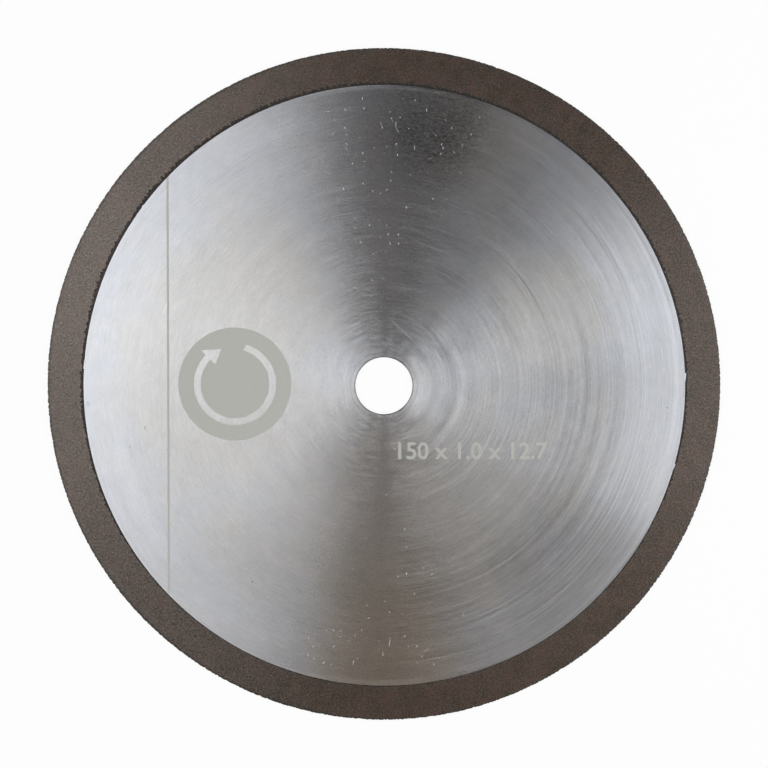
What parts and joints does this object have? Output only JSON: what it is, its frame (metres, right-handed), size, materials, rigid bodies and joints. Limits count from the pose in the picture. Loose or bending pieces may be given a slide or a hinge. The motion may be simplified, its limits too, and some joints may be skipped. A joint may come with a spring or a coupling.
{
  "type": "diamond cut-off wheel",
  "caption": "Thin round cut-off wheel for a precision saw: a ground steel core disc with a central arbor bore, and a continuous resin-bonded diamond rim moulded round its edge.",
  "frame": {"origin": "centre of the arbor bore, in the middle of the wheel's thickness", "axes": "+Z along the wheel's spin axis, out of the marked face; the wheel lies flat, and +Y points to the top of the marked face"},
  "size_m": [0.15, 0.15, 0.001],
  "materials": {
    "ground_steel": "ground in circles round the bore, satin",
    "resin_bonded_diamond": "matt brown-grey resin full of fine grit, side-ground",
    "etched_mark": "matt warm grey laser etching on the steel"
  },
  "bodies": {
    "root": {"steel_core": "ground_steel", "diamond_rim": "resin_bonded_diamond"}
  },
  "joints": []
}
